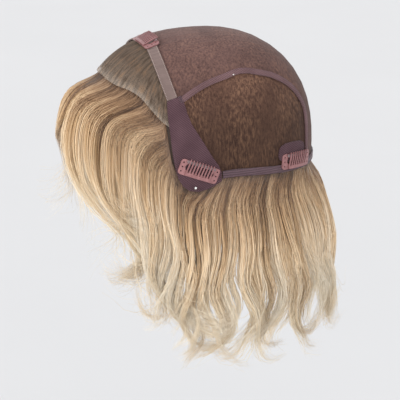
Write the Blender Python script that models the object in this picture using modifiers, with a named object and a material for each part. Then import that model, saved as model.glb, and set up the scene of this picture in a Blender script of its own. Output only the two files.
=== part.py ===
"""Hair topper, inside out: a mesh cap with five snap clips, and the hair that falls from its opening.

Metres, +Z up. The wearer faces -Y and the wearer's left is +X. The origin is the top of the head
hollow, on the midline, where the cap sits. Places on the cap are given as two angles from the
middle of the hollow: lon, from the front toward the wearer's left, and lat, up from its widest level.
"""
import math
import random

import bmesh
import bpy
import numpy as np
from mathutils import Matrix, Vector

# Head hollow
HEAD_HALF_WIDTH = 0.068
HEAD_FRONT = 0.0945
HEAD_BACK = 0.090
HEAD_TOP = 0.090
HEAD_SQUARENESS = 2.4

# Layers, from the hollow outward
HAIR_WALL = 0.002
LINING_GAP = 0.0005
PANEL_WALL = 0.001
PIECE_GAP = 0.0003
TAPE_WALL = 0.001
RIM_WALL = 0.001
RIM_CROWN = 0.00015
TAPE_CROWN = 0.0003

# Cap edges and tapes
SEAM_TAPE_WIDTH = 0.0042
FRONT_BAND_WIDTH = 0.008
RIM_WIDTH = 0.0058
PANEL_TUCK = 0.003
SEAM_OPENING = 0.0012
RIM_TUCK = 0.0022
PATCH_LENGTH = 0.029
PATCH_HEIGHT = 0.0155
STUD_RADIUS = 0.0013

# Snap clips
CLIP_GAP = 0.00045
CLIP_LENGTH = 0.0325
CLIP_WIDTH = 0.0125
CLIP_WALL = 0.0008
CLIP_CORNER = 0.0022
WINDOW_LENGTH = 0.0235
WINDOW_WIDTH = 0.0062
WINDOW_ASIDE = 0.0006
SEWING_HOLE = 0.0007
SEWING_HOLE_FROM_END = 0.0022
SEWING_HOLE_SPREAD = 0.0036
COMB_WALL = 0.0007
COMB_LENGTH = 0.0205
COMB_SPINE = 0.0024
COMB_FROM_EDGE = 0.0004
TOOTH_COUNT = 9
TOOTH_WIDTH = 0.0011
TOOTH_TIP = 0.0005
TOOTH_REACH = 0.0014
GRIP_LENGTH = 0.0245
GRIP_WIDTH = 0.0022
GRIP_WALL = 0.0007

# Hair
HAIR_EXIT = 0.003
HAIR_REACH = 0.110
HAIR_DROP = 0.172
LOCK_COUNT = 24
LOCK_RIDGE = 0.0022
LOCK_TIP_SHARE = 0.16
WAVE_DEPTH = 0.0042
WAVE_LENGTH = 0.075
TIP_SPREAD = 0.012

# Counts of steps
LINING_STEPS = 5
FALL_STEPS = 9
SPLIT_STEP = 6
LOCK_STEPS = 3

PANEL_LIFT = HAIR_WALL + LINING_GAP
TAPE_LIFT = PANEL_LIFT + PANEL_WALL + PIECE_GAP
CLIP_LIFT = TAPE_LIFT + TAPE_WALL + CLIP_GAP
HEAD_CENTRE = Vector((0, 0, -HEAD_TOP))

# Half outline of the cap's edge, from the front midline round to the back midline: lon, lat
LACE_EDGE = ((0, 38.6), (10, 37.9), (20, 37.3), (30, 37.0), (37, 35.3), (44, 31.0), (50.3, 26.6),
             (53.4, 24.9))
LACE_CORNER = (55.8, 23.6)
TAB_FRONT = ((53.2, 29.0), (54.8, 22.5), (56.3, 12.4), (57.8, 3.3), (59.3, -3.6), (62.0, -9.0))
TAB_FOOT = ((62.0, -9.0), (67.0, -13.0), (73.5, -13.4), (80.5, -11.4), (86.2, -8.2))
TAB_REAR = ((66.3, 28.3), (73.1, 19.0), (80.1, 7.9), (84.4, 1.6), (86.0, -2.5), (86.2, -8.2))
RIM_TOP = ((86.7, -1.9), (96, -1.5), (110, -2.2), (126, -3.4), (147, -4.2), (165, -4.0), (180, -3.8))

# Centre of the seam between crown and side panel, from the front band over and down the back
SEAM_ARC = ((60.7, 38.8), (67.6, 43.6), (75.7, 47.5), (84, 50.0), (94, 51.6), (102, 52.6), (110, 52.5),
            (117, 50.8), (124, 48.1), (131.5, 44.8), (137.6, 40.3))
SEAM_BACK = ((137.6, 40.3), (142, 36.2), (145, 32.0), (147.5, 27.0), (149, 21.8), (148.4, 16),
             (147.4, 9), (147, 2), (147, -3.8))
SEAM_FOOT = (147, -5.8)

# Centre of the front band, from the midline down to the ear tab
BAND_ARC = ((0, 63.4), (14, 62.8), (26, 60.0), (36, 55.6), (45, 49.3), (51, 43.0), (54.6, 38.2))

# Clips: name, lon, lat, slope of the length in degrees
CLIPS = (
    ("front", 5.7, 63.2, -3.0),
    ("side_left", 71.3, -0.3, -21.0),
    ("side_right", -71.3, -0.3, 21.0),
    ("back_left", 137.1, -2.3, -4.3),
    ("back_right", -137.1, -2.3, 4.3),
)
PATCH_PLACE = (135.0, 2.9, -4.3)
STUD_PLACE = (69.0, -10.3)

# The hair's fall, a row for each section of the half edge. FALL_AT holds each row's share of the edge,
# FALL_LON the angles at five stations down the hair, FALL_OUT their distances from the middle as
# shares of HAIR_REACH, and FALL_DOWN their depths below the widest level as shares of HAIR_DROP.
FALL_AT = (0.0, 0.13, 0.25, 0.36, 0.50, 0.62, 0.78, 0.90, 1.0)
FALL_LON = (
    (0, 0, 3, 14, 30),
    (24, 25, 29, 38, 52),
    (42, 43, 46, 54, 62),
    (56, 57, 59, 63, 67),
    (70, 71, 73, 75, 76),
    (92, 92, 92, 93, 94),
    (124, 124, 125, 125, 126),
    (152, 152, 153, 153, 153),
    (180, 180, 180, 180, 180),
)
FALL_OUT = (
    (0.87, 0.99, 0.96, 0.82, 0.64),
    (0.90, 0.98, 0.95, 0.84, 0.71),
    (0.86, 0.92, 0.88, 0.80, 0.73),
    (0.80, 0.82, 0.80, 0.75, 0.71),
    (0.70, 0.75, 0.78, 0.77, 0.77),
    (0.69, 0.75, 0.79, 0.79, 0.81),
    (0.77, 0.86, 0.92, 0.92, 0.93),
    (0.87, 0.96, 1.00, 0.98, 1.00),
    (0.88, 0.97, 1.01, 0.99, 1.01),
)
FALL_DOWN = (
    (-0.29, -0.10, 0.08, 0.28, 0.42),
    (-0.25, -0.06, 0.15, 0.36, 0.52),
    (-0.15, 0.05, 0.28, 0.52, 0.78),
    (0.05, 0.22, 0.45, 0.73, 0.96),
    (0.17, 0.35, 0.57, 0.79, 1.00),
    (0.16, 0.33, 0.55, 0.77, 1.00),
    (0.16, 0.33, 0.55, 0.77, 1.00),
    (0.16, 0.33, 0.55, 0.77, 0.98),
    (0.16, 0.33, 0.55, 0.77, 0.97),
)


def clear_scene():
    """Remove the objects that the scene starts with."""
    for thing in list(bpy.data.objects):
        bpy.data.objects.remove(thing, do_unlink=True)


def make_material(name, colour, roughness, metallic=0.0):
    """A plain principled material."""
    material = bpy.data.materials.new(name)
    material.use_nodes = True
    shader = material.node_tree.nodes["Principled BSDF"]
    shader.inputs["Base Color"].default_value = (*colour, 1.0)
    shader.inputs["Roughness"].default_value = roughness
    shader.inputs["Metallic"].default_value = metallic
    return material


def ways(places):
    """Unit vectors from the middle of the hollow for rows of lon and lat in degrees."""
    lon, lat = np.radians(np.asarray(places, float)).T
    return np.stack([np.cos(lat) * np.sin(lon), -np.cos(lat) * np.cos(lon), np.sin(lat)], -1)


def unit(vectors):
    """The same vectors with a length of one."""
    return vectors / np.linalg.norm(vectors, axis=-1, keepdims=True)


def on_head(way, lift):
    """Points on the head form in the given directions, lifted along its normal."""
    way = np.asarray(way, float)
    depth = np.where(way[..., 1] < 0, HEAD_FRONT, HEAD_BACK)
    axes = np.stack([np.full_like(depth, HEAD_HALF_WIDTH), depth, np.full_like(depth, HEAD_TOP)], -1)
    shares = np.abs(way) / axes
    reach = np.sum(shares ** HEAD_SQUARENESS, -1) ** (-1 / HEAD_SQUARENESS)
    point = way * reach[..., None]
    slope = np.sign(point) * (np.abs(point) / axes) ** (HEAD_SQUARENESS - 1) / axes
    return point + unit(slope) * np.asarray(lift)[..., None] + np.array(HEAD_CENTRE)


def head_normal(way):
    """Outward normals of the head form in the given directions."""
    return unit(on_head(way, np.array(0.01)) - on_head(way, np.array(0.0)))


def spline(points, steps):
    """A smooth curve through the points, as steps + 1 points evenly spaced along it."""
    points = np.asarray(points, float)
    ends = np.vstack([2 * points[0] - points[1], points, 2 * points[-1] - points[-2]])
    fine = []
    for index in range(len(points) - 1):
        before, start, end, after = ends[index:index + 4]
        for share in np.linspace(0, 1, 12, endpoint=False):
            fine.append(0.5 * (2 * start + (end - before) * share
                               + (2 * before - 5 * start + 4 * end - after) * share ** 2
                               + (3 * start - before - 3 * end + after) * share ** 3))
    fine = np.array(fine + [points[-1]])
    along = np.concatenate([[0], np.cumsum(np.linalg.norm(np.diff(fine, axis=0), axis=1))])
    places = np.linspace(0, along[-1], steps + 1)
    return np.stack([np.interp(places, along, fine[:, axis]) for axis in range(fine.shape[1])], -1)


def path(places, steps):
    """Evenly spaced directions along a smooth line through rows of lon and lat."""
    return unit(spline(ways(places), steps))


def shifted(line, distance):
    """A line of directions moved sideways on the head form, to the left as seen from outside."""
    points = on_head(line, np.zeros(len(line)))
    along = unit(np.gradient(points, axis=0))
    side = unit(np.cross(head_normal(line), along))
    moved = points + side * distance - np.array(HEAD_CENTRE)
    return unit(moved)


def patch(low, high, start, end):
    """Directions of a four-sided sheet between two lines and the two lines that join their ends."""
    across = np.linspace(0, 1, len(low))[None, :, None]
    up = np.linspace(0, 1, len(start))[:, None, None]
    ruled = (1 - up) * low[None] + up * high[None] + (1 - across) * start[:, None] + across * end[:, None]
    corners = ((1 - up) * ((1 - across) * low[0] + across * low[-1])
               + up * ((1 - across) * high[0] + across * high[-1]))
    return unit(ruled - corners)


def add_object(name, mesh, material):
    """A named object in the topper's collection, with one material."""
    mesh.materials.append(material)
    thing = bpy.data.objects.new(name, mesh)
    bpy.data.collections["hair_topper"].objects.link(thing)
    return thing


def turn_outward(mesh, centre):
    """Flip the faces of an open sheet when they look toward the centre."""
    facing = sum((face.center - centre).dot(face.normal) * face.area for face in mesh.polygons)
    if facing < 0:
        mesh.flip_normals()


def sheet_mesh(name, points):
    """A mesh with the rows and columns of points as its corners."""
    rows, columns = points.shape[:2]
    faces = []
    for row in range(rows - 1):
        for column in range(columns - 1):
            first = row * columns + column
            faces.append((first, first + 1, first + columns + 1, first + columns))
    mesh = bpy.data.meshes.new(name)
    mesh.from_pydata(points.reshape(-1, 3).tolist(), [], faces)
    turn_outward(mesh, HEAD_CENTRE)
    mesh.shade_smooth()
    return mesh


def add_sheet(name, points, wall, material, mirrored=False):
    """A cloth wall whose inner side is a sheet of points, mirrored over the midline if wanted."""
    thing = add_object(name, sheet_mesh(name, points), material)
    if mirrored:
        mirror = thing.modifiers.new("halves", "MIRROR")
        mirror.use_axis = (True, False, False)
        mirror.use_clip = True
        mirror.merge_threshold = 0.0001
    shell = thing.modifiers.new("wall", "SOLIDIFY")
    shell.thickness = wall
    shell.offset = 1.0
    return thing


def other_side(points):
    """The mirror image of points on the other side of the midline."""
    return points * np.array([-1, 1, 1])


def on_midline(grid):
    """The same sheet of directions with its first column exactly on the midline."""
    grid = grid.copy()
    grid[:, 0, 0] = 0
    return grid


def strip(line, half_width, across=2):
    """Directions of a band that follows a line, as rows across its width."""
    rows = [shifted(line, half_width * side) for side in np.linspace(-1, 1, across + 1)]
    return np.array(rows)


def cap_edge(steps):
    """Directions along the whole half edge of the cap, from front midline to back midline."""
    rim_foot = shifted(path(RIM_TOP, 24), -RIM_WIDTH)
    edge = np.vstack([ways(LACE_EDGE), ways(TAB_FRONT[2:]), ways(TAB_FOOT[1:-1]), rim_foot[::4]])
    return unit(spline(edge, steps))


def joined(lines, steps):
    """One evenly spaced line through all the points of several lines of directions."""
    return unit(spline(np.vstack(lines), steps))


def add_lace(material):
    """The lace front: from the hairline back to the middle of the front band."""
    steps = 10
    rear = shifted(path(BAND_ARC, steps), -SEAM_OPENING / 2)
    edge = path(LACE_EDGE + (LACE_CORNER,), steps)
    middle = path(((0, LACE_EDGE[0][1]), (0, (LACE_EDGE[0][1] + BAND_ARC[0][1]) / 2), BAND_ARC[0]), 5)
    side = joined((edge[-1:], rear[-1:]), 5)
    grid = on_midline(patch(edge, rear, middle, side))
    add_sheet("lace_front", crowned(grid, PANEL_LIFT, 0), PANEL_WALL, material, True)


def add_front_band(material):
    """The tape over the top behind the lace, down to the ear tabs."""
    grid = strip(path(BAND_ARC, 12), FRONT_BAND_WIDTH / 2)
    grid = on_midline(grid)
    add_sheet("front_band", crowned(grid, TAPE_LIFT, 0), TAPE_WALL, material, True)


def seam_line(steps, foot=()):
    """Directions along the whole seam, from the front band over and down the back to the rim."""
    return path(SEAM_ARC + SEAM_BACK[1:] + foot, steps)


def add_crown(material):
    """The crown panel: from the front band over the top and down the back between the seams."""
    across = 7
    down = 17
    front = shifted(path(BAND_ARC, across), SEAM_OPENING / 2)
    rear = shifted(path(RIM_TOP[::-1][:3], across), RIM_TUCK)
    seam = shifted(seam_line(down, (SEAM_FOOT,)), SEAM_OPENING / 2)
    side = joined((front[-1:], seam[1:-1], rear[-1:]), down)
    middle = path((BAND_ARC[0], (0, 80), (180, 80), (180, 55), (180, 25), RIM_TOP[-1]), down)
    middle = joined((front[:1], middle[1:-1], rear[:1]), down)
    grid = on_midline(patch(front, rear, middle, side))
    add_sheet("crown_panel", crowned(grid, PANEL_LIFT, 0), PANEL_WALL, material, True)


def side_grid():
    """Directions of the left side panel, between seam, tucked tab edge and rim."""
    across = 11
    down = 8
    top = shifted(path(SEAM_ARC, across), -SEAM_OPENING / 2)
    rear = shifted(path(SEAM_BACK + (SEAM_FOOT,), down), -SEAM_OPENING / 2)
    tab = shifted(path(TAB_REAR[:-1], 6), -PANEL_TUCK)
    foot = shifted(path(RIM_TOP[:5], across), -RIM_TUCK)
    foot = joined((tab[-1:], foot[1:-1], rear[-1:]), across)
    front = joined((top[:1], tab), down)
    return patch(top, foot, front, rear)


def tab_grid():
    """Directions of the left ear tab."""
    band_end = strip(path(BAND_ARC, 12), FRONT_BAND_WIDTH / 2)[:, -1]
    seam_start = strip(seam_line(24), SEAM_TAPE_WIDTH / 2)[:, 0]
    below = unit(band_end - np.array([0, 0, 1.6 * PIECE_GAP / HEAD_TOP]))
    corner = unit(seam_start[0] - np.array([0, 0, 1.6 * PIECE_GAP / HEAD_TOP]))
    top = joined((below[:1], below[-1:], corner[None]), 5)
    front = joined((top[:1], ways(TAB_FRONT)), 9)
    rear = joined((top[-1:], ways(TAB_REAR)), 9)
    foot = path(TAB_FOOT, 5)
    return patch(top, foot, front, rear)


def crowned(grid, lift, crown):
    """Points of a band whose middle row stands a little higher than its edges."""
    lifts = np.full(grid.shape[:2], lift)
    lifts[1:-1] += crown
    return on_head(grid, lifts)


def add_both_sides(name, points, wall, material):
    """A piece on the wearer's left and its mirror image on the right, as two objects."""
    add_sheet(name + "_left", points, wall, material)
    add_sheet(name + "_right", other_side(points), wall, material)


def add_rim(material):
    """The padded elastic round the lower edge of the sides and the back."""
    top = path(RIM_TOP, 18)[::-1]
    grid = on_midline(np.array([shifted(top, RIM_WIDTH * share) for share in (0, 0.5, 1.0)]))
    add_sheet("rim_band", crowned(grid, TAPE_LIFT, RIM_CROWN), RIM_WALL, material, True)


def seat_frame(lon, lat, slope, lift):
    """A place on the cap: its point and the directions along, across and out from it."""
    way = ways((lon, lat))
    out = head_normal(way[None])[0]
    up = unit(np.array([0, 0, 1]) - out[2] * out)
    level = np.cross(up, out)
    turn = math.radians(slope)
    along = level * math.cos(turn) + up * math.sin(turn)
    across = np.cross(out, along)
    return on_head(way[None], np.array([lift]))[0], along, across, out


def patch_grid():
    """Directions of the left clip patch, a round-cornered piece of cloth."""
    point, along, across, _ = seat_frame(*PATCH_PLACE, 0)
    rows = []
    for high in np.linspace(-1, 1, 5):
        row = []
        for wide in np.linspace(-1, 1, 7):
            right = wide * (1 - 0.10 * high ** 4) * PATCH_LENGTH / 2
            rise = high * (1 - 0.30 * wide ** 4) * PATCH_HEIGHT / 2
            row.append(point + along * right + across * rise - np.array(HEAD_CENTRE))
        rows.append(row)
    return unit(np.array(rows))


def rounded_outline(length, width, radius, edge_steps=6, corner_steps=2):
    """Points round a rectangle with round corners, with steps along its long edges."""
    points = []
    for right, up, start in ((1, -1, -90), (1, 1, 0), (-1, 1, 90), (-1, -1, 180)):
        middle = (right * (length / 2 - radius), up * (width / 2 - radius))
        for step in range(corner_steps + 1):
            turn = math.radians(start + 90 * step / corner_steps)
            points.append((middle[0] + radius * math.cos(turn), middle[1] + radius * math.sin(turn)))
        if right == up:
            reach = length / 2 - radius
            inner = np.linspace(right * reach, -right * reach, edge_steps + 1)[1:-1]
            points += [(across, up * width / 2) for across in inner]
        elif up == -1 and right == -1:
            reach = length / 2 - radius
            inner = np.linspace(-reach, reach, edge_steps + 1)[1:-1]
            points += [(across, -width / 2) for across in inner]
    return points


def ring_outline(centre, radius, steps):
    """Points round a circle."""
    turns = [2 * math.pi * step / steps for step in range(steps)]
    return [(centre[0] + radius * math.cos(turn), centre[1] + radius * math.sin(turn)) for turn in turns]


def plate_mesh(name, outlines, wall):
    """A flat plate with holes, half of its wall on each side of z = 0."""
    work = bmesh.new()
    for outline in outlines:
        corners = [work.verts.new((across, up, -wall / 2)) for across, up in outline]
        for first, second in zip(corners, corners[1:] + corners[:1]):
            work.edges.new((first, second))
    bmesh.ops.triangle_fill(work, use_beauty=True, use_dissolve=False, edges=work.edges[:])
    raised = bmesh.ops.extrude_face_region(work, geom=work.faces[:])["geom"]
    top = [item for item in raised if isinstance(item, bmesh.types.BMVert)]
    bmesh.ops.translate(work, verts=top, vec=(0, 0, wall))
    bmesh.ops.recalc_face_normals(work, faces=work.faces)
    mesh = bpy.data.meshes.new(name)
    work.to_mesh(mesh)
    work.free()
    return mesh


def bend(mesh, sags):
    """Curve a plate down toward its two ends, by the cap's own sag there."""
    for corner in mesh.vertices:
        sag = sags[0] if corner.co.x < 0 else sags[1]
        corner.co.z -= sag * (corner.co.x / (CLIP_LENGTH / 2)) ** 2


def clip_sags(point, along, out):
    """How far the cap falls away under each of a clip's ends."""
    ends = point + np.outer((-1, 1), along) * CLIP_LENGTH / 2
    below = on_head(unit(ends - np.array(HEAD_CENTRE)), np.full(2, CLIP_LIFT))
    return (ends - below) @ out


def frame_mesh(name):
    """A clip's plate, with its window and three sewing holes at each end."""
    outlines = [rounded_outline(CLIP_LENGTH, CLIP_WIDTH, CLIP_CORNER)]
    window = rounded_outline(WINDOW_LENGTH, WINDOW_WIDTH, WINDOW_WIDTH * 0.45)
    outlines.append([(across, up + WINDOW_ASIDE) for across, up in window])
    for end in (-1, 1):
        for step in (-1, 0, 1):
            place = (end * (CLIP_LENGTH / 2 - SEWING_HOLE_FROM_END), step * SEWING_HOLE_SPREAD)
            outlines.append(ring_outline(place, SEWING_HOLE, 5))
    return plate_mesh(name, outlines, CLIP_WALL)


def comb_rise(up):
    """How high a tooth arches over the grip, at a distance from the comb's hinge edge."""
    knee = CLIP_WIDTH / 2 + WINDOW_ASIDE + WINDOW_WIDTH / 2 - COMB_FROM_EDGE
    rise = GRIP_WALL + PIECE_GAP
    if up <= COMB_SPINE + COMB_WALL:
        return 0.0
    return rise * min(1.0, (up - COMB_SPINE) / (knee - 0.0008 - COMB_SPINE))


def comb_mesh(name):
    """A clip's comb: its spine with its outer edge on y = 0, and teeth that arch over the grip."""
    tip = CLIP_WIDTH - COMB_FROM_EDGE + TOOTH_REACH
    knee = CLIP_WIDTH / 2 + WINDOW_ASIDE + WINDOW_WIDTH / 2 - COMB_FROM_EDGE - 0.0008
    pitch = (COMB_LENGTH - TOOTH_WIDTH) / (TOOTH_COUNT - 1)
    half = COMB_LENGTH / 2
    outline = [(across, 0.0) for across in np.linspace(-half, half, 7)]
    for tooth in reversed(range(TOOTH_COUNT)):
        middle = (tooth - (TOOTH_COUNT - 1) / 2) * pitch
        right = middle + TOOTH_WIDTH / 2
        left = middle - TOOTH_WIDTH / 2
        outline += [(right, COMB_SPINE), (right, knee), (middle + TOOTH_TIP / 2, tip),
                    (middle - TOOTH_TIP / 2, tip), (left, knee), (left, COMB_SPINE)]
    mesh = plate_mesh(name, [outline], COMB_WALL)
    for corner in mesh.vertices:
        corner.co.z += comb_rise(corner.co.y)
    return mesh


def add_clip(name, lon, lat, slope, metal, silicone):
    """One snap clip on its seat: frame, grip over the upper bar, and comb on its hinge edge."""
    point, along, across, out = seat_frame(lon, lat, slope, CLIP_LIFT)
    sags = clip_sags(point, along, out)
    seat = bpy.data.objects.new("clip_" + name + "_seat", None)
    seat.empty_display_size = CLIP_WIDTH
    bpy.data.collections["hair_topper"].objects.link(seat)
    place = np.eye(4)
    place[:3, 0] = along
    place[:3, 1] = across
    place[:3, 2] = out
    place[:3, 3] = point
    seat.matrix_world = Matrix(place.tolist())

    bar_middle = (CLIP_WIDTH / 2 + WINDOW_ASIDE + WINDOW_WIDTH / 2) / 2
    grip = plate_mesh("clip_" + name + "_grip",
                      [rounded_outline(GRIP_LENGTH, GRIP_WIDTH, GRIP_WIDTH * 0.4, 6, 1)], GRIP_WALL)
    parts = (
        (frame_mesh("clip_" + name + "_frame"), metal, (0, 0, CLIP_WALL / 2)),
        (grip, silicone, (0, bar_middle, CLIP_WALL + PIECE_GAP + GRIP_WALL / 2)),
        (comb_mesh("clip_" + name + "_comb"), metal,
         (0, COMB_FROM_EDGE - CLIP_WIDTH / 2, CLIP_WALL + PIECE_GAP + COMB_WALL / 2)),
    )
    for mesh, material, offset in parts:
        bend(mesh, sags)
        thing = add_object(mesh.name, mesh, material)
        thing.parent = seat
        thing.location = offset


def add_stud(name, side, material):
    """A small ball at the foot of an ear tab."""
    lon, lat = STUD_PLACE
    point = seat_frame(side * lon, lat, 0, CLIP_LIFT + STUD_RADIUS)[0]
    mesh = bpy.data.meshes.new(name)
    work = bmesh.new()
    bmesh.ops.create_uvsphere(work, u_segments=10, v_segments=6, radius=STUD_RADIUS)
    work.to_mesh(mesh)
    work.free()
    mesh.shade_smooth()
    ball = add_object(name, mesh, material)
    ball.location = point


def eased(share):
    """A smooth step from 0 to 1."""
    share = min(1.0, max(0.0, share))
    return share * share * (3 - 2 * share)


def between_rows(table, share):
    """A row of a table at a share of the edge, smooth between the rows of FALL_AT."""
    table = np.asarray(table, float)
    at = np.asarray(FALL_AT)
    slopes = np.gradient(table, at, axis=0)
    slopes[0] = 0
    slopes[-1] = 0
    row = int(np.clip(np.searchsorted(at, share) - 1, 0, len(at) - 2))
    span = at[row + 1] - at[row]
    part = (share - at[row]) / span
    return (table[row] * (1 + 2 * part) * (1 - part) ** 2 + slopes[row] * span * part * (1 - part) ** 2
            + table[row + 1] * part ** 2 * (3 - 2 * part) + slopes[row + 1] * span * part ** 2 * (part - 1))


def fall_line(exits, share):
    """The stations of one strand on the left half: its exit from the cap and five points below."""
    place = share * (len(exits) - 1)
    index = min(int(place), len(exits) - 2)
    way = unit(exits[index] * (index + 1 - place) + exits[index + 1] * (place - index))
    start = on_head(way[None], np.array([0.0]))[0]
    above = on_head(unit(way + np.array([0, 0, 0.12]))[None], np.array([0.0]))[0]
    lon = np.radians(between_rows(FALL_LON, share))
    out = between_rows(FALL_OUT, share) * HAIR_REACH
    down = between_rows(FALL_DOWN, share) * HAIR_DROP
    below = np.stack([out * np.sin(lon), -out * np.cos(lon), HEAD_CENTRE.z - down], -1)
    return np.vstack([above[None], start[None], below])


def point_along(stations, share):
    """A point at a share of the way from the exit down a strand's stations."""
    ends = np.vstack([stations, 2 * stations[-1] - stations[-2]])
    place = share * (len(stations) - 2)
    index = min(int(place), len(stations) - 3)
    part = place - index
    before, start, end, after = ends[index:index + 4]
    return 0.5 * (2 * start + (end - before) * part
                  + (2 * before - 5 * start + 4 * end - after) * part ** 2
                  + (3 * start - before - 3 * end + after) * part ** 3)


def hair_point(exits, turn, share, ridge):
    """A point of the hair's inner side, at a turn round the cap (0 to 2) and a share of its fall."""
    turn = turn % 2
    side = 1 if turn <= 1 else -1
    stations = fall_line(exits, turn if side == 1 else 2 - turn)
    point = point_along(stations, share)
    outward = np.array([point[0], point[1], 0])
    outward = outward / np.linalg.norm(outward)
    phase = 2.2 * math.sin(3 * math.pi * turn + 1) + 1.4 * math.sin(7 * math.pi * turn)
    swing = WAVE_DEPTH * eased((share - 0.2) / 0.6) * math.sin(
        2 * math.pi * share * HAIR_DROP / WAVE_LENGTH + phase)
    point = point + outward * (swing + LOCK_RIDGE * ridge * eased(share / 0.35))
    return point * np.array([side, 1, 1])


def hair_grid():
    """Corners and faces of the hair's inner side: a lining under the cap, then locks that part."""
    exits = shifted(cap_edge(120), -HAIR_EXIT)
    exits[[0, -1], 0] = 0
    columns = LOCK_COUNT * LOCK_STEPS
    chance = random.Random(4)
    corners = [on_head(np.array([[0, 0, 1.0]]), np.array([0.0]))[0]]
    index = {}

    def corner(key, point):
        """The number of a corner, added when it is new."""
        if key not in index:
            index[key] = len(corners)
            corners.append(point)
        return index[key]

    faces = []
    top = np.array([0, 0, 1.0])
    for row in range(1, LINING_STEPS + 1):
        for column in range(columns):
            turn = 2 * column / columns
            place = (turn if turn <= 1 else 2 - turn) * (len(exits) - 1)
            low = int(min(place, len(exits) - 2))
            way = unit(exits[low] * (low + 1 - place) + exits[low + 1] * (place - low))
            way = way * np.array([1 if turn <= 1 else -1, 1, 1])
            angle = math.acos(np.dot(top, way)) * row / LINING_STEPS
            sideways = unit(way - np.dot(way, top) * top)
            lean = top * math.cos(angle) + sideways * math.sin(angle)
            corner((row, column), on_head(lean[None], np.array([0.0]))[0])
    for row in range(LINING_STEPS):
        for column in range(columns):
            after = (column + 1) % columns
            if row == 0:
                faces.append((0, index[(1, column)], index[(1, after)]))
            else:
                faces.append((index[(row, column)], index[(row + 1, column)],
                              index[(row + 1, after)], index[(row, after)]))

    def fall_corner(lock, step, row, reach, drift):
        """The corner of a lock's column at a row of the fall."""
        column = (lock * LOCK_STEPS + step) % columns
        if row == 0:
            return index[(LINING_STEPS, column)]
        parted = eased((row - SPLIT_STEP) / (FALL_STEPS - SPLIT_STEP))
        width = 1 - (1 - LOCK_TIP_SHARE) * parted
        middle = lock + 0.5
        place = middle + (step / LOCK_STEPS - 0.5) * width
        share = row / FALL_STEPS * (1 + (reach - 1) * parted)
        ridge = math.sin(math.pi * step / LOCK_STEPS)
        point = hair_point(exits, 2 * place / LOCK_COUNT, share, ridge)
        point = point + np.array([-point[1], point[0], 0]) / HAIR_REACH * drift * parted
        key = (LINING_STEPS + row, column) if row <= SPLIT_STEP else (LINING_STEPS + row, lock, step)
        return corner(key, point)

    for lock in range(LOCK_COUNT):
        reach = chance.uniform(0.86, 1.0)
        drift = chance.uniform(-1, 1) * TIP_SPREAD
        for row in range(FALL_STEPS):
            for step in range(LOCK_STEPS):
                faces.append((fall_corner(lock, step, row, reach, drift),
                              fall_corner(lock, step, row + 1, reach, drift),
                              fall_corner(lock, step + 1, row + 1, reach, drift),
                              fall_corner(lock, step + 1, row, reach, drift)))
    return corners, faces


def add_hair(material):
    """The hair: one wall that lines the cap and falls from its edge in locks."""
    corners, faces = hair_grid()
    mesh = bpy.data.meshes.new("hair")
    mesh.from_pydata([list(map(float, point)) for point in corners], [], faces)
    turn_outward(mesh, HEAD_CENTRE)
    mesh.shade_smooth()
    hair = add_object("hair", mesh, material)
    shell = hair.modifiers.new("wall", "SOLIDIFY")
    shell.thickness = HAIR_WALL
    shell.offset = 1.0


def build():
    """Make the whole topper."""
    clear_scene()
    collection = bpy.data.collections.new("hair_topper")
    bpy.context.scene.collection.children.link(collection)

    lace = make_material("lace", (0.30, 0.25, 0.20), 0.9)
    band = make_material("band_tape", (0.33, 0.25, 0.23), 0.8)
    mesh_cloth = make_material("mesh_cloth", (0.13, 0.075, 0.062), 0.9)
    tape = make_material("seam_tape", (0.12, 0.065, 0.072), 0.9)
    knit = make_material("tab_knit", (0.10, 0.048, 0.062), 0.95)
    satin = make_material("rim_satin", (0.15, 0.095, 0.115), 0.5)
    metal = make_material("clip_paint", (0.42, 0.19, 0.20), 0.4)
    silicone = make_material("grip_silicone", (0.45, 0.38, 0.37), 0.35)
    silver = make_material("stud_metal", (0.75, 0.73, 0.70), 0.2, 1.0)
    fibre = make_material("hair_fibre", (0.55, 0.38, 0.20), 0.5)

    add_lace(lace)
    add_front_band(band)
    add_crown(mesh_cloth)
    add_both_sides("side_panel", crowned(side_grid(), PANEL_LIFT, 0), PANEL_WALL, mesh_cloth)
    add_both_sides("ear_tab", crowned(tab_grid(), TAPE_LIFT, 0), TAPE_WALL, knit)
    seam = strip(seam_line(24), SEAM_TAPE_WIDTH / 2)
    add_both_sides("seam_tape", crowned(seam, TAPE_LIFT, TAPE_CROWN), TAPE_WALL, tape)
    add_rim(satin)
    add_both_sides("clip_patch", crowned(patch_grid(), TAPE_LIFT, 0), TAPE_WALL, knit)
    add_stud("tab_stud_left", 1, silver)
    add_stud("tab_stud_right", -1, silver)
    for name, lon, lat, slope in CLIPS:
        add_clip(name, lon, lat, slope, metal, silicone)
    add_hair(fibre)


build()
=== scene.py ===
"""Looks of the hair topper: strands of hair, cloth and metal finishes, camera, floor and light.

Metres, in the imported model's frame: +Z up, the wearer faces -Y, +X is the wearer's left, and the
origin is the top of the head hollow. Angles on the cap are lon, from the front toward the wearer's
left, and lat, up from the hollow's widest level, both in degrees.
"""
import math

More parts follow.
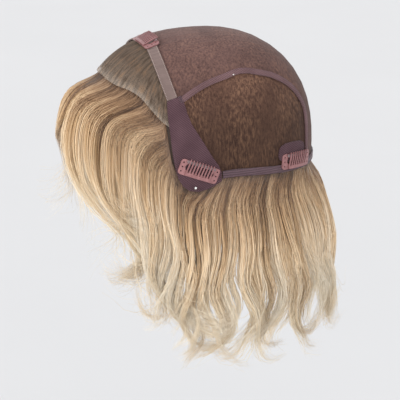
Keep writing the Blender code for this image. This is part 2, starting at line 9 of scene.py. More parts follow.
import bmesh
import bpy
import numpy as np
from mathutils import Euler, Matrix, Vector


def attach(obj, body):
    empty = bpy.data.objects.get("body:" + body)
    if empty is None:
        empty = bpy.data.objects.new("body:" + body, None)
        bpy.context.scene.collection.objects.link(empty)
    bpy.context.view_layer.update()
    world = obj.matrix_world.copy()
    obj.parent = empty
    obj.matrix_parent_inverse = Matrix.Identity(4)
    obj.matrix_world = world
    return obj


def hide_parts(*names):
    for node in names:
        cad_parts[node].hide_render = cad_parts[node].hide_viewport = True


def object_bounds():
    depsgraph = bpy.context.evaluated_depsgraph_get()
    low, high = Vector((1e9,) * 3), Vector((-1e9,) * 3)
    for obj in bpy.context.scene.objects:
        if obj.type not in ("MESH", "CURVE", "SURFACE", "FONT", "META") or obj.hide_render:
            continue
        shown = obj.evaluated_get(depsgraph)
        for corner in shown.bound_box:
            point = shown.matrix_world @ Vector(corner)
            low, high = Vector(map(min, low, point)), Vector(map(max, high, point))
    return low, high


# Head hollow and layers, as the solids have them
HEAD_HALF_WIDTH = 0.068
HEAD_FRONT = 0.0945
HEAD_BACK = 0.090
HEAD_TOP = 0.090
HEAD_SQUARENESS = 2.4
TAPE_TOP = 0.0048
RIM_WIDTH = 0.0058
HAIR_EXIT = 0.003
HAIR_REACH = 0.110
HAIR_DROP = 0.172
CENTRE = np.array([0.0, 0.0, -HEAD_TOP])
LACE_LIFT = 0.0029
LACE_WALL = 0.0004
LINING_WALL = 0.0012
LINING_SINK = 0.0026
# Size of the pale knot on the seam, a painted highlight
KNOT_HIGHLIGHT_RADIUS = 0.0006
THREAD_RADIUS = 0.00017

# Camera: the photo's angle and lens
CAMERA_AZIMUTH = 71.0
CAMERA_ELEVATION = 17.0
CAMERA_DISTANCE = 1.239
CAMERA_FOCUS = 1521.0
SENSOR_WIDTH = 36
FRAME_SIZE = 400.0
CENTRE_ACROSS = 197.0
CENTRE_DOWN = 142.0

# Studio: the floor, the surround, and each light's place, strength and softness
FLOOR_BELOW = 0.6
FLOOR_REACH = 9.0
SURROUND_COLOUR = (0.955, 0.962, 0.978, 1)
SURROUND_STRENGTH = 0.90
KEY_LIGHT = ((0.35, -1.6, 0.85), 1.75, 0.7)
FILL_LIGHT = ((2.0, -0.2, 0.6), 1.05, 0.9)

# Lines on the cap: lon, lat
LACE_EDGE = ((0, 38.6), (10, 37.9), (20, 37.3), (30, 37.0), (37, 35.3), (44, 31.0), (50.3, 26.6),
             (53.4, 24.9))
TAB_FRONT = ((53.2, 29.0), (54.8, 22.5), (56.3, 12.4), (57.8, 3.3), (59.3, -3.6), (62.0, -9.0))
TAB_FOOT = ((62.0, -9.0), (67.0, -13.0), (73.5, -13.4), (80.5, -11.4), (86.2, -8.2))
RIM_TOP = ((86.7, -1.9), (96, -1.5), (110, -2.2), (126, -3.4), (147, -4.2), (165, -4.0), (180, -3.8))
SEAM_ARC = ((60.7, 38.8), (67.6, 43.6), (75.7, 47.5), (84, 50.0), (94, 51.6), (102, 52.6), (110, 52.5),
            (117, 50.8), (124, 48.1), (131.5, 44.8), (137.6, 40.3))
SEAM_BACK = ((137.6, 40.3), (142, 36.2), (145, 32.0), (147.5, 27.0), (149, 21.8), (148.4, 16),
             (147.4, 9), (147, 2), (147, -3.8))
BAND_ARC = ((0, 63.4), (14, 62.8), (26, 60.0), (36, 55.6), (45, 49.3), (51, 43.0), (54.6, 38.2))
LACE_CORNER = (55.8, 23.6)
TACK = ((58.6, 40.2), (61.2, 37.2))
# Place of the pale knot on the seam, a painted highlight
KNOT_HIGHLIGHT_PLACE = np.array([101.4, 51.6])

# The strands' fall: a row for each section of the half edge, a column for each station from root to
# tip, as lon, share of HAIR_REACH and share of HAIR_DROP
FALL_AT = (0.0, 0.13, 0.25, 0.36, 0.50, 0.62, 0.78, 0.90, 1.0)
FALL_LON = (
    (0, 0, 1, 4, 12, 28, 29, 38),
    (24, 24, 26, 30, 36, 44, 46, 47),
    (42, 43, 44, 47, 51, 55, 58, 60),
    (56, 57, 58, 59, 60, 62, 64, 66),
    (70, 70, 71, 72, 73, 74, 75, 76),
    (92, 92, 92, 92, 92, 93, 93, 94),
    (124, 124, 125, 125, 125, 125, 126, 126),
    (152, 152, 153, 153, 153, 153, 153, 153),
    (180, 180, 180, 180, 180, 180, 180, 180),
)
FALL_OUT = (
    (0.87, 0.96, 0.99, 0.95, 0.84, 0.65, 0.70, 0.73),
    (0.90, 0.97, 0.98, 0.95, 0.88, 0.77, 0.73, 0.74),
    (0.81, 0.88, 0.90, 0.88, 0.83, 0.78, 0.74, 0.73),
    (0.74, 0.78, 0.79, 0.79, 0.78, 0.76, 0.73, 0.71),
    (0.70, 0.73, 0.76, 0.77, 0.78, 0.78, 0.77, 0.77),
    (0.69, 0.73, 0.76, 0.78, 0.79, 0.79, 0.80, 0.81),
    (0.77, 0.83, 0.88, 0.91, 0.92, 0.92, 0.92, 0.93),
    (0.87, 0.93, 0.97, 0.99, 1.00, 0.98, 0.99, 1.00),
    (0.88, 0.94, 0.98, 1.00, 1.01, 0.99, 1.00, 1.01),
)
FALL_DOWN = (
    (-0.29, -0.17, -0.04, 0.10, 0.25, 0.41, 0.60, 0.84),
    (-0.25, -0.12, 0.02, 0.16, 0.31, 0.46, 0.66, 0.88),
    (-0.15, -0.01, 0.13, 0.28, 0.43, 0.60, 0.78, 0.95),
    (0.05, 0.17, 0.30, 0.43, 0.57, 0.71, 0.84, 0.97),
    (0.17, 0.29, 0.41, 0.53, 0.65, 0.77, 0.89, 1.00),
    (0.16, 0.28, 0.40, 0.52, 0.64, 0.76, 0.88, 1.00),
    (0.16, 0.28, 0.40, 0.52, 0.64, 0.76, 0.88, 1.00),
    (0.16, 0.28, 0.40, 0.51, 0.63, 0.75, 0.87, 0.98),
    (0.16, 0.28, 0.39, 0.51, 0.62, 0.74, 0.86, 0.97),
)

# Paths made from the fall: how many round the half edge, steps on each, the points under the cap that
# each starts from, and the share of a path at which it leaves the cap
FALL_TURNS = 150
FALL_STEPS = 90
ROOT_RISES = (0.3, 0.13)
EXIT_SHARE = 1 / 9

# Clumps round the cap, and the lengths of their waves as shares of the fall
CLUMPS = 116
WAVE = 0.40
RIPPLE = 0.35
KINK = 0.24

# How far strands may stand out: axis, middle and half width, and the depth of the soft edge
SIDE_LIMITS = ((0, 0.0, 0.098), (1, 0.002, 0.117))
SOFT_EDGE = 0.010

# Hair groups: name, strands, first and last turn round the cap, radius, steps, depth in mm, share of
# loose strands, tightness of the clumps
HAIR_GROUPS = (
    ("hair_body", 1500, 0.0, 2.0, 0.00046, 15, (-3.0, 1.0), 0.0, 0.35),
    ("hair_inner", 1500, 0.0, 2.0, 0.00042, 15, (-3.0, 1.0), 0.0, 0.55),
    ("hair_left_front", 1500, 0.0, 0.50, 0.00024, 18, (-1.0, 4.5), 0.06, 1.0),
    ("hair_left_back", 1500, 0.46, 0.92, 0.00024, 18, (-1.0, 4.5), 0.06, 1.0),
    ("hair_back", 1500, 0.88, 1.42, 0.00030, 17, (-1.0, 4.5), 0.05, 0.8),
    ("hair_right", 1400, 1.38, 2.02, 0.00030, 17, (-1.0, 4.5), 0.06, 0.9),
)


def unit(vectors):
    """The same vectors with a length of one."""
    return vectors / np.maximum(np.linalg.norm(vectors, axis=-1, keepdims=True), 1e-12)


def ways(places):
    """Unit vectors from the middle of the hollow for rows of lon and lat."""
    lon, lat = np.radians(np.asarray(places, float)).T
    return np.stack([np.cos(lat) * np.sin(lon), -np.cos(lat) * np.cos(lon), np.sin(lat)], -1)


def on_head(way, lift):
    """Points on the head form in the given directions, lifted along its normal."""
    way = np.asarray(way, float)
    depth = np.where(way[..., 1] < 0, HEAD_FRONT, HEAD_BACK)
    axes = np.stack([np.full_like(depth, HEAD_HALF_WIDTH), depth, np.full_like(depth, HEAD_TOP)], -1)
    shares = np.abs(way) / axes
    reach = np.sum(shares ** HEAD_SQUARENESS, -1) ** (-1 / HEAD_SQUARENESS)
    point = way * reach[..., None]
    slope = np.sign(point) * (np.abs(point) / axes) ** (HEAD_SQUARENESS - 1) / axes
    return point + unit(slope) * np.asarray(lift)[..., None] + CENTRE


def spline(points, steps):
    """A smooth curve through the points, as steps + 1 points evenly spaced along it."""
    points = np.asarray(points, float)
    ends = np.vstack([2 * points[0] - points[1], points, 2 * points[-1] - points[-2]])
    fine = []
    for index in range(len(points) - 1):
        before, start, end, after = ends[index:index + 4]
        for share in np.linspace(0, 1, 12, endpoint=False):
            fine.append(0.5 * (2 * start + (end - before) * share
                               + (2 * before - 5 * start + 4 * end - after) * share ** 2
                               + (3 * start - before - 3 * end + after) * share ** 3))
    fine = np.array(fine + [points[-1]])
    along = np.concatenate([[0], np.cumsum(np.linalg.norm(np.diff(fine, axis=0), axis=1))])
    places = np.linspace(0, along[-1], steps + 1)
    return np.stack([np.interp(places, along, fine[:, axis]) for axis in range(fine.shape[1])], -1)


def path(places, steps):
    """Evenly spaced directions along a smooth line through rows of lon and lat."""
    return unit(spline(ways(places), steps))


def shifted(line, distance):
    """A line of directions moved sideways on the head form, to the left as seen from outside."""
    points = on_head(line, np.zeros(len(line)))
    normal = unit(on_head(line, np.full(len(line), 0.01)) - points)
    side = unit(np.cross(normal, unit(np.gradient(points, axis=0))))
    return unit(points + side * distance - CENTRE)


def cap_edge(steps):
    """Directions along the whole half edge of the cap, from front midline to back midline."""
    rim_foot = shifted(path(RIM_TOP, 24), -RIM_WIDTH)
    edge = np.vstack([ways(LACE_EDGE), ways(TAB_FRONT[2:]), ways(TAB_FOOT[1:-1]), rim_foot[::4]])
    return unit(spline(edge, steps))


def eased(share):
    """A smooth step from 0 to 1, for arrays."""
    share = np.clip(share, 0, 1)
    return share * share * (3 - 2 * share)


def between_rows(table, share):
    """A row of a table at a share of the edge, smooth between the rows of FALL_AT."""
    table = np.asarray(table, float)
    at = np.asarray(FALL_AT)
    slopes = np.gradient(table, at, axis=0)
    slopes[0] = 0
    slopes[-1] = 0
    row = int(np.clip(np.searchsorted(at, share) - 1, 0, len(at) - 2))
    span = at[row + 1] - at[row]
    part = (share - at[row]) / span
    return (table[row] * (1 + 2 * part) * (1 - part) ** 2
            + slopes[row] * span * part * (1 - part) ** 2
            + table[row + 1] * part ** 2 * (3 - 2 * part)
            + slopes[row + 1] * span * part ** 2 * (part - 1))


def fall_table(turns, steps):
    """Base paths of the left half, [turn, step, xyz]: a stretch under the cap, the exit, the fall."""
    exits = shifted(cap_edge(turns), -HAIR_EXIT)
    exits[[0, -1], 0] = 0
    rows = []
    for index, way in enumerate(exits):
        share = index / turns
        start = on_head(way[None], np.array([0.0]))[0]
        above = [on_head(unit(way + np.array([0, 0, rise]))[None], np.array([0.0]))[0]
                 for rise in ROOT_RISES]
        lon = np.radians(between_rows(FALL_LON, share))
        out = between_rows(FALL_OUT, share) * HAIR_REACH
        down = between_rows(FALL_DOWN, share) * HAIR_DROP
        below = np.stack([out * np.sin(lon), -out * np.cos(lon), CENTRE[2] - down], -1)
        stations = np.vstack([above, start[None], below, 2 * below[-1:] - below[-2:-1]])
        fine = []
        for place in np.linspace(0.001, len(stations) - 3.001, steps + 1):
            low = int(place)
            part = place - low
            before, first, last, after = stations[low:low + 4]
            fine.append(0.5 * (2 * first + (last - before) * part
                               + (2 * before - 5 * first + 4 * last - after) * part ** 2
                               + (3 * first - before - 3 * last + after) * part ** 3))
        rows.append(fine)
    return np.array(rows)


FALL = fall_table(FALL_TURNS, FALL_STEPS)


def base_point(turn, share):
    """Points on the base paths for arrays of turn (0 to 2) and share of the path (0 to 1)."""
    turn = np.mod(turn, 2)
    side = np.where(turn <= 1, 1.0, -1.0)
    across = np.where(turn <= 1, turn, 2 - turn) * FALL_TURNS
    down = np.clip(share, 0, 1) * FALL_STEPS
    i = np.clip(across.astype(int), 0, FALL_TURNS - 1)
    j = np.clip(down.astype(int), 0, FALL_STEPS - 1)
    a = (across - i)[..., None]
    b = (down - j)[..., None]
    point = ((FALL[i, j] * (1 - a) + FALL[i + 1, j] * a) * (1 - b)
             + (FALL[i, j + 1] * (1 - a) + FALL[i + 1, j + 1] * a) * b)
    return point * np.stack([side, np.ones_like(side), np.ones_like(side)], -1)


def tube_mesh(name, points, radii, tones, ends, sides=3):
    """Tapered tubes along rows of points; the UV map holds each tube's tone and its place on the fall."""
    count, steps = points.shape[:2]
    tangent = unit(np.gradient(points, axis=1))
    normal = unit(np.cross(tangent[:, 0], np.array([0.31, 0.52, 0.8])))
    rings = []
    for step in range(steps):
        normal = unit(normal - np.sum(normal * tangent[:, step], -1, keepdims=True) * tangent[:, step])
        other = np.cross(tangent[:, step], normal)
        for side in range(sides):
            turn = 2 * math.pi * side / sides
            rings.append(points[:, step] + (normal * math.cos(turn) + other * math.sin(turn))
                         * radii[:, step, None])
    corners = np.stack(rings, 1).reshape(count * steps * sides, 3)
    first = (np.arange(count) * steps * sides)[:, None, None]
    ring = (np.arange(steps - 1) * sides)[None, :, None]
    side = np.arange(sides)[None, None, :]
    after = (side + 1) % sides
    quads = np.stack([first + ring + side, first + ring + after, first + ring + sides + after,
                      first + ring + sides + side], -1).reshape(-1, 4)
    caps = np.concatenate([first[:, 0, :] + np.arange(sides)[::-1],
                           first[:, 0, :] + (steps - 1) * sides + np.arange(sides)])
    mesh = bpy.data.meshes.new(name)
    loops = np.concatenate([quads.ravel(), caps.ravel()])
    sizes = np.concatenate([np.full(len(quads), 4), np.full(len(caps), sides)])
    mesh.vertices.add(len(corners))
    mesh.vertices.foreach_set("co", corners.ravel())
    mesh.loops.add(len(loops))
    mesh.loops.foreach_set("vertex_index", loops.astype(np.int32))
    mesh.polygons.add(len(sizes))
    starts = np.concatenate([[0], np.cumsum(sizes)[:-1]])
    mesh.polygons.foreach_set("loop_start", starts.astype(np.int32))
    mesh.polygons.foreach_set("use_smooth", np.ones(len(sizes), bool))
    mesh.update(calc_edges=True)
    strand = loops // (steps * sides)
    along = (loops % (steps * sides)) // sides / (steps - 1) * ends[strand]
    layer = mesh.uv_layers.new(name="OFBake")
    layer.data.foreach_set("uv", np.stack([tones[strand], along], -1).ravel().astype(np.float32))
    mesh.validate()
    return mesh


def add_piece(name, mesh, material, slot, *nodes):
    """A piece that rides on the cap, with its finish and the nodes that it replaces; slot is not used."""
    piece = bpy.data.objects.new(name, mesh)
    bpy.context.scene.collection.objects.link(piece)
    mesh.materials.clear()
    mesh.materials.append(material)
    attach(piece, "cap")
    if nodes:
        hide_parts(*nodes)
    return piece


def clump_table():
    """Values that the strands of a clump share: place, sweep, wave, curl, length and tone."""
    chance = np.random.default_rng(11)
    place = (np.arange(CLUMPS) + chance.uniform(-0.35, 0.35, CLUMPS)) * 2 / CLUMPS
    long_one = chance.random(CLUMPS) < 0.42
    front = 1 - eased(np.minimum(place, 2 - place) / 0.34)
    side = np.where(chance.random(CLUMPS) < 0.5, -1, 1)
    length = np.where(long_one, chance.uniform(1.04, 1.16, CLUMPS), chance.uniform(0.86, 1.0, CLUMPS))
    return {
        "place": place,
        "sweep": chance.uniform(-0.020, 0.020, CLUMPS) * (1 - 0.5 * front),
        "deep": chance.uniform(-0.0020, 0.0020, CLUMPS),
        "phase": 2.0 * np.sin(3 * math.pi * place + 1) + chance.normal(0, 0.7, CLUMPS),
        "sway": chance.uniform(0.32, 0.56, CLUMPS) * (1 - 0.45 * front),
        "curl": np.where(long_one, chance.uniform(1.4, 4.6, CLUMPS), chance.uniform(0.2, 1.8, CLUMPS))
        * side * (1 - 0.6 * front),
        "kink": chance.uniform(0.6, 1.3, CLUMPS) * (1 - 0.5 * front),
        "lean": chance.uniform(-0.9, 0.4, CLUMPS),
        "length": length * (1 - 0.20 * front * np.where(long_one, 0, 1)),
        "front": front,
        "tone": chance.uniform(0.0, 1.0, CLUMPS),
    }


def gathered(points, near, share, amount):
    """Strands drawn toward the middle line of their clump, more and more toward the tips."""
    total = np.zeros((CLUMPS, *points.shape[1:]))
    np.add.at(total, near, points)
    middle = total / np.maximum(np.bincount(near, minlength=CLUMPS), 1)[:, None, None]
    pull = amount[:, None] * eased((share - 0.52) / 0.48)
    return points + (middle[near] - points) * pull[..., None]


def kept_near(points):
    """Strands eased back where they would stand far outside the solids' sides."""
    for axis, middle, half in SIDE_LIMITS:
        out = points[..., axis] - middle
        over = np.maximum(np.abs(out) - half, 0)
        points[..., axis] = middle + np.sign(out) * (np.minimum(np.abs(out), half)
                                                      + SOFT_EDGE * np.tanh(over / SOFT_EDGE))
    return points


def trimmed(points, reach):
    """Strands cut off at a share of their length, with as many points as before."""
    steps = points.shape[1]
    place = np.linspace(0, 1, steps)[None] * reach[:, None] * (steps - 1)
    low = np.minimum(place.astype(int), steps - 2)
    part = (place - low)[..., None]
    row = np.arange(len(points))[:, None]
    return points[row, low] * (1 - part) + points[row, low + 1] * part


def strands(count, first, last, radius, steps, depths, loose, tightness, seed):
    """Points, radii and tones of the strands of one group."""
    chance = np.random.default_rng(seed)
    clump = clump_table()
    root = chance.uniform(first, last, count)
    near = np.argmin(np.abs(np.mod(root[:, None] - clump["place"][None] + 1, 2) - 1), 1)
    centre = root + (np.mod(clump["place"][near] - root + 1, 2) - 1)
    free = chance.random(count) < loose
    share = np.linspace(0, 1, steps)[None] ** 0.84
    length = clump["length"][near] * chance.normal(1.0, 0.03, count)
    length = np.where(free, length * chance.uniform(0.5, 1.0, count), length)
    short = (clump["front"][near] > 0.25) & (chance.random(count) < 0.90)
    length = np.where(short, np.minimum(length, chance.uniform(0.58, 0.80, count)), length)
    far_length = np.minimum(length, chance.uniform(0.50, 0.64, count))
    length = np.where(np.mod(root, 2) > 1.75, far_length, length)
    place = share * length[:, None]
    late = eased((place - 0.55) / 0.45)
    swept = clump["sweep"][near][:, None] * eased((place - 0.2) / 0.6)
    far_front = eased((np.mod(root, 2) - 1.28) / 0.32)[:, None]
    loose_end = np.where(free, 1 - 0.8 * clump["front"][near], 1.0)[:, None]
    swept = swept - 0.24 * far_front * eased((place - 0.30) / 0.45)
    turn = root[:, None] + (centre - root)[:, None] * 0.3 * late + swept
    points = base_point(turn, place)
    beyond = np.clip(place - 1, 0, 1)[..., None] * np.array([0, 0, -HAIR_DROP])
    outward = unit(points * np.array([1, 1, 0]))
    depth = chance.uniform(depths[0], depths[1], count) / 1000 + clump["deep"][near]
    spread = eased((place - EXIT_SHARE * 0.9) / 0.22)
    points = points + beyond + outward * (0.0012 + depth[:, None] * spread)[..., None]

    run = np.diff(points, axis=1)
    size = np.linalg.norm(run, axis=-1, keepdims=True)
    way = unit(run)
    middle = (place[:, 1:] + place[:, :-1]) / 2
    out = outward[:, 1:]
    across = unit(np.cross(way, out))
    out = np.cross(across, way)
    grown = eased((middle - 0.22) / 0.5)
    phase = clump["phase"][near][:, None] + chance.normal(0, 0.2, count)[:, None]
    sway = clump["sway"][near][:, None] * np.where(free, 1.5, 1.0)[:, None]
    wave = sway * grown * np.sin(2 * math.pi * middle / WAVE + phase)
    ripple = 0.5 * sway * grown * np.sin(2 * math.pi * middle / RIPPLE + 1.7 * phase + 0.8)
    tail = np.clip((middle - 0.66 * length[:, None]) / (0.34 * length[:, None]), 0, 1) ** 1.2
    curl = clump["curl"][near][:, None] * (1 + chance.normal(0, 0.08, count)[:, None]) * tail * loose_end
    kink = clump["kink"][near][:, None] * tail * np.sin(2 * math.pi * middle / KINK + 2.3 * phase)
    bend_side = wave + curl + kink
    bend_out = ripple + curl * clump["lean"][near][:, None] * 0.4
    way = unit(way * np.cos(bend_side)[..., None] + across * np.sin(bend_side)[..., None]
               + out * np.sin(bend_out)[..., None])
    stray = chance.normal(0, 0.03, (count, 1, 3)) * np.where(free, 3.0, 0.8)[:, None, None]
    way = unit(way + stray * grown[..., None])
    points = np.concatenate([points[:, :1], points[:, :1] + np.cumsum(way * size, 1)], 1)
    pull = np.where(free, 0.1, chance.uniform(0.45, 0.90, count) * tightness)
    points = gathered(points, near, share, pull)
    reach = 1 - 0.28 * chance.random(count) ** 1.5
    points = kept_near(trimmed(points, reach))

    taper = np.clip((1 - share) / 0.5, 0.12, 1)
    radii = radius * taper * chance.uniform(0.75, 1.25, count)[:, None]
    tones = np.clip(clump["tone"][near] * 0.55 + chance.uniform(0, 1, count) * 0.45, 0.01, 0.99)
    return points, radii, tones, length * reach


def node_material(name):
    """A new node material with its node tree and principled shader."""
    material = bpy.data.materials.new(name)
    material.use_nodes = True
    tree = material.node_tree
    return material, tree, tree.nodes["Principled BSDF"]


def ramp(tree, source, stops):
    """A colour ramp with stops of position and colour, fed by a socket."""
    node = tree.nodes.new("ShaderNodeValToRGB")
    elements = node.color_ramp.elements
    while len(elements) < len(stops):
        elements.new(0.5)
    for element, (position, colour) in zip(elements, stops):
        element.position = position
        element.color = (*colour, 1)
    tree.links.new(source, node.inputs["Fac"])
    return node.outputs["Color"]


def mixed(tree, share, first, second, mode="MIX"):
    """A colour mix of two sockets or colours, by a socket or a number."""
    node = tree.nodes.new("ShaderNodeMix")
    node.data_type = "RGBA"
    node.blend_type = mode
    for key, value in (("Factor", share), ("A", first), ("B", second)):
        socket = node.inputs[key]
        if isinstance(value, bpy.types.NodeSocket):
            tree.links.new(value, socket)
        elif isinstance(value, tuple):
            socket.default_value = (*value, 1)
        else:
            socket.default_value = value
    return node.outputs["Result"]


def mapped(tree, scale, turn=(0, 0, 0)):
    """Object coordinates, turned and scaled."""
    place = tree.nodes.new("ShaderNodeTexCoord")
    mapping = tree.nodes.new("ShaderNodeMapping")
    mapping.inputs["Scale"].default_value = scale
    mapping.inputs["Rotation"].default_value = turn
    tree.links.new(place.outputs["Object"], mapping.inputs["Vector"])
    return mapping.outputs["Vector"]


def noise(tree, vector, scale, detail=3.0):
    """A noise value at a place."""
    node = tree.nodes.new("ShaderNodeTexNoise")
    node.inputs["Scale"].default_value = scale
    node.inputs["Detail"].default_value = detail
    tree.links.new(vector, node.inputs["Vector"])
    return node.outputs["Fac"]


def cells(tree, vector, scale):
    """The distance to the nearest of many scattered points."""
    node = tree.nodes.new("ShaderNodeTexVoronoi")
    node.inputs["Scale"].default_value = scale
    tree.links.new(vector, node.inputs["Vector"])
    return node.outputs["Distance"]


def bands(tree, vector, scale, direction="X", distortion=0.0):
    """Soft parallel bands."""
    node = tree.nodes.new("ShaderNodeTexWave")
    node.bands_direction = direction
    node.inputs["Scale"].default_value = scale
    node.inputs["Distortion"].default_value = distortion
    tree.links.new(vector, node.inputs["Vector"])
    return node.outputs["Fac"]


def bump(tree, shader, height, strength, distance):
    """Raise the shader's surface by a height socket."""
    node = tree.nodes.new("ShaderNodeBump")
    node.inputs["Strength"].default_value = strength
    node.inputs["Distance"].default_value = distance
    tree.links.new(height, node.inputs["Height"])
    tree.links.new(node.outputs["Normal"], shader.inputs["Normal"])


def hair_material():
    """Blonde hair with brown roots, honey lengths and pale ends, each strand in its own tone."""
    material, tree, shader = node_material("hair_fibre")
    uv = tree.nodes.new("ShaderNodeUVMap")
    uv.uv_map = "OFBake"
    parts = tree.nodes.new("ShaderNodeSeparateXYZ")
    tree.links.new(uv.outputs["UV"], parts.inputs["Vector"])
    tone, along = parts.outputs["X"], parts.outputs["Y"]
    shift = tree.nodes.new("ShaderNodeMath")
    shift.operation = "MULTIPLY_ADD"
    shift.inputs[1].default_value = 0.20
    tree.links.new(tone, shift.inputs[0])
    tree.links.new(along, shift.inputs[2])
    length = ramp(tree, shift.outputs["Value"], (
        (0.14, (0.11, 0.060, 0.034)),
        (0.24, (0.33, 0.205, 0.120)),
        (0.35, (0.70, 0.51, 0.32)),
        (0.50, (0.96, 0.81, 0.62)),
        (0.75, (0.99, 0.92, 0.80)),
    ))
    streak = ramp(tree, tone, (
        (0.08, (0.40, 0.31, 0.22)),
        (0.24, (0.74, 0.62, 0.46)),
        (0.48, (0.97, 0.89, 0.76)),
        (0.75, (1.0, 0.98, 0.94)),
    ))
    colour = mixed(tree, 1.0, length, streak, "MULTIPLY")
    tree.links.new(colour, shader.inputs["Base Color"])
    shader.inputs["Roughness"].default_value = 0.42
    shader.inputs["Specular IOR Level"].default_value = 0.45
    shader.inputs["Sheen Weight"].default_value = 0.15
    return material


def cloth_material(name, colours, flecks, fleck_scale, turn, painted_shading, net_scale):
    """Netted cloth with hair roots showing through as flecks, and painted shading: darker or lighter with
    height, darker in the net's holes.
    """
    material, tree, shader = node_material(name)
    place = mapped(tree, (1, 1, 1))
    patches = noise(tree, place, 34.0, 4.0)
    colour = ramp(tree, patches, ((0.3, colours[0]), (0.7, colours[1])))
    fibres = noise(tree, mapped(tree, (1.0, 1.0, 0.26), turn), fleck_scale, 4.0)
    soft = noise(tree, mapped(tree, (1.0, 1.0, 0.5), turn), 42.0, 3.0)
    mask = ramp(tree, fibres, ((0.44, (0, 0, 0)), (0.72, (0.8, 0.8, 0.8))))
    thinner = ramp(tree, soft, ((0.34, (0.15, 0.15, 0.15)), (0.66, (1, 1, 1))))
    mask = mixed(tree, 1.0, mask, thinner, "MULTIPLY")
    colour = mixed(tree, mask, colour, flecks)
    dark = ramp(tree, fibres, ((0.28, (0.70, 0.68, 0.66)), (0.46, (1, 1, 1))))
    colour = mixed(tree, 1.0, colour, dark, "MULTIPLY")
    # Painted shading by height: the colour is scaled by a ramp of the height on the head.
    height = tree.nodes.new("ShaderNodeSeparateXYZ")
    tree.links.new(place, height.inputs["Vector"])
    level = tree.nodes.new("ShaderNodeMapRange")
    level.inputs["From Min"].default_value = -0.105
    level.inputs["From Max"].default_value = 0.0
    tree.links.new(height.outputs["Z"], level.inputs["Value"])
    colour = mixed(tree, 1.0, colour, ramp(tree, level.outputs["Result"], painted_shading), "MULTIPLY")
    # Painted shade in the net's holes, a little lighter on its threads.
    net = ramp(tree, cells(tree, place, net_scale),
               ((0.10, (0.70, 0.68, 0.70)), (0.45, (1.06, 1.05, 1.06))))
    colour = mixed(tree, 1.0, colour, net, "MULTIPLY")
    tree.links.new(colour, shader.inputs["Base Color"])
    shader.inputs["Roughness"].default_value = 0.85
    shader.inputs["Sheen Weight"].default_value = 0.06
    shader.inputs["Specular IOR Level"].default_value = 0.2
    bump(tree, shader, cells(tree, place, net_scale), 0.5, 0.0004)
    return material


def lace_material():
    """Sheer net: olive brown near the band, pale and open at the hairline, with painted shade in its
    holes.
    """
    material, tree, shader = node_material("lace")
    uv = tree.nodes.new("ShaderNodeUVMap")
    uv.uv_map = "OFBake"
    parts = tree.nodes.new("ShaderNodeSeparateXYZ")
    tree.links.new(uv.outputs["UV"], parts.inputs["Vector"])
    stretch = tree.nodes.new("ShaderNodeMapping")
    stretch.inputs["Scale"].default_value = (64.0, 3.0, 1.0)
    tree.links.new(uv.outputs["UV"], stretch.inputs["Vector"])
    roots = noise(tree, stretch.outputs["Vector"], 1.0, 4.0)
    base = ramp(tree, parts.outputs["Y"], ((0.0, (0.105, 0.077, 0.058)), (0.5, (0.105, 0.074, 0.054)),
                                           (0.82, (0.17, 0.128, 0.098)), (1.0, (0.36, 0.30, 0.25))))
    streak = ramp(tree, roots, ((0.36, (0.62, 0.58, 0.54)), (0.50, (1, 1, 1)), (0.68, (1.5, 1.3, 1.1))))
    colour = mixed(tree, 1.0, base, streak, "MULTIPLY")
    net = cells(tree, mapped(tree, (1, 1, 1)), 950.0)
    # Painted shade in the net's holes, a little lighter on its threads.
    painted_hole_shade = ramp(tree, net, ((0.1, (0.75, 0.74, 0.73)), (0.5, (1.1, 1.1, 1.1))))
    colour = mixed(tree, 1.0, colour, painted_hole_shade, "MULTIPLY")
    tree.links.new(colour, shader.inputs["Base Color"])
    cover = ramp(tree, parts.outputs["Y"], ((0.0, (0.96, 0.96, 0.96)), (0.6, (0.86, 0.86, 0.86)),
                                            (1.0, (0.42, 0.42, 0.42))))
    tree.links.new(cover, shader.inputs["Alpha"])
    shader.inputs["Roughness"].default_value = 0.85
    shader.inputs["Specular IOR Level"].default_value = 0.2
    bump(tree, shader, net, 0.5, 0.0003)
    return material


def thread_material(name, dark, light):
    """Twisted sewing thread."""
    material, tree, shader = node_material(name)
    twist = bands(tree, mapped(tree, (1, 1, 1), (0.6, 0.4, 0)), 900.0)
    tree.links.new(ramp(tree, twist, ((0.2, dark), (0.8, light))), shader.inputs["Base Color"])
    shader.inputs["Roughness"].default_value = 0.7
    bump(tree, shader, twist, 0.4, 0.0001)
    return material


def ribbed_material(name, colours, scale, turn, depth, roughness=0.85, sheen=0.08, direction="Z"):
    """A cloth of fine ribs, with painted shade in the grooves and painted light on the crests."""
    material, tree, shader = node_material(name)
    place = mapped(tree, (1, 1, 1), turn)
    ribs = bands(tree, place, scale, direction, 1.2)
    patches = noise(tree, mapped(tree, (1, 1, 1)), 60.0, 4.0)
    base = ramp(tree, patches, ((0.3, colours[0]), (0.7, colours[1])))
    # Painted shading on the ribs: darker in the grooves, lighter on the crests.
    painted_shading = ramp(tree, ribs, ((0.1, (0.62, 0.60, 0.62)), (0.7, (1.12, 1.1, 1.12))))
    tree.links.new(mixed(tree, 1.0, base, painted_shading, "MULTIPLY"), shader.inputs["Base Color"])
    shader.inputs["Roughness"].default_value = roughness
    shader.inputs["Sheen Weight"].default_value = sheen
    shader.inputs["Specular IOR Level"].default_value = 0.35
    bump(tree, shader, ribs, 0.6, depth)
    return material


def paint_material():
    """Rose enamel on pressed steel, a little uneven."""
    material, tree, shader = node_material("clip_paint")
    patches = noise(tree, mapped(tree, (1, 1, 1)), 320.0, 5.0)
    colour = ramp(tree, patches, ((0.3, (0.25, 0.105, 0.105)), (0.7, (0.37, 0.170, 0.170))))
    tree.links.new(colour, shader.inputs["Base Color"])
    rough = ramp(tree, patches, ((0.2, (0.3, 0.3, 0.3)), (0.8, (0.5, 0.5, 0.5))))
    tree.links.new(rough, shader.inputs["Roughness"])
    shader.inputs["Metallic"].default_value = 0.35
    shader.inputs["Coat Weight"].default_value = 0.4
    bump(tree, shader, patches, 0.12, 0.0002)
    return material


